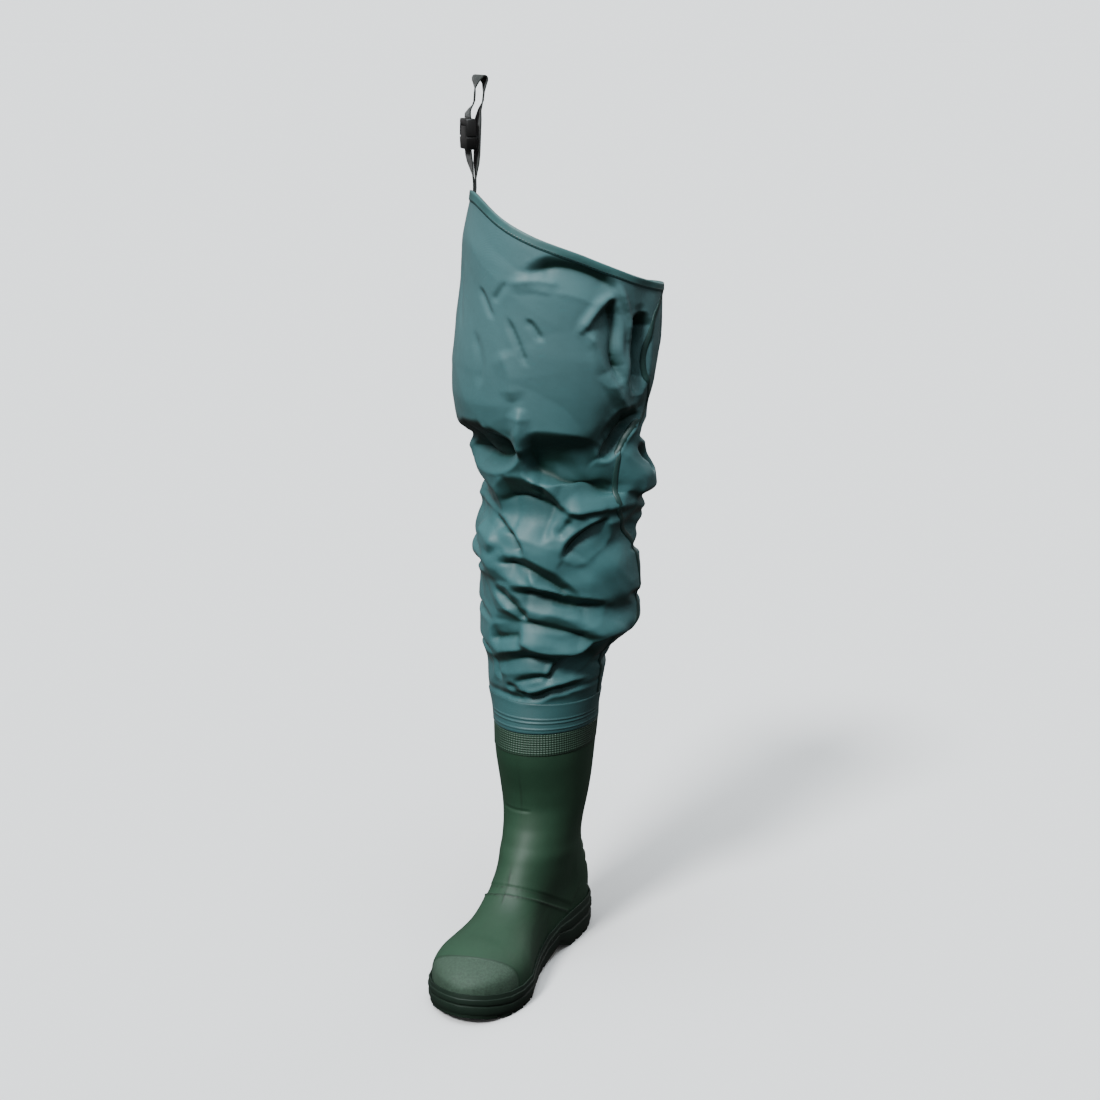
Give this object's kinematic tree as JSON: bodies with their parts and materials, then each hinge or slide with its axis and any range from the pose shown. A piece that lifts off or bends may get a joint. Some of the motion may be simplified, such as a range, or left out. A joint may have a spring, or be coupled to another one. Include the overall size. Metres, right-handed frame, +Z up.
{
  "type": "hip wader",
  "caption": "Right hip wader: moulded PVC boot with a ribbed sole, a slack coated fabric leg welded to its top, a slanted collar and a belt loop with a side-release buckle.",
  "frame": {"origin": "bottom centre of the bounding box, on the floor", "axes": "+Z up along the leg, the leg faces -Y, its outer side is -X"},
  "size_m": [0.2492, 0.3222, 0.9503],
  "materials": {
    "pvc": "satin dark green PVC",
    "sole": "matt dark green rubber",
    "tape": "matt ribbed weld tape",
    "fabric": "coated nylon with a satin sheen",
    "hem": "welded coated nylon",
    "webbing": "matt woven webbing",
    "plastic": "fine grained black plastic",
    "foam": "matt fleece over foam"
  },
  "bodies": {
    "root": {"boot_upper": "pvc", "boot_band": "tape", "outsole": "sole", "insole": "foam", "leg": "fabric", "leg_cuff": "fabric", "collar_hem": "hem", "inseam_tape": "hem", "belt_strap": "webbing", "strap_short": "webbing", "buckle_socket": "plastic", "buckle_plug": "plastic"}
  },
  "joints": []
}
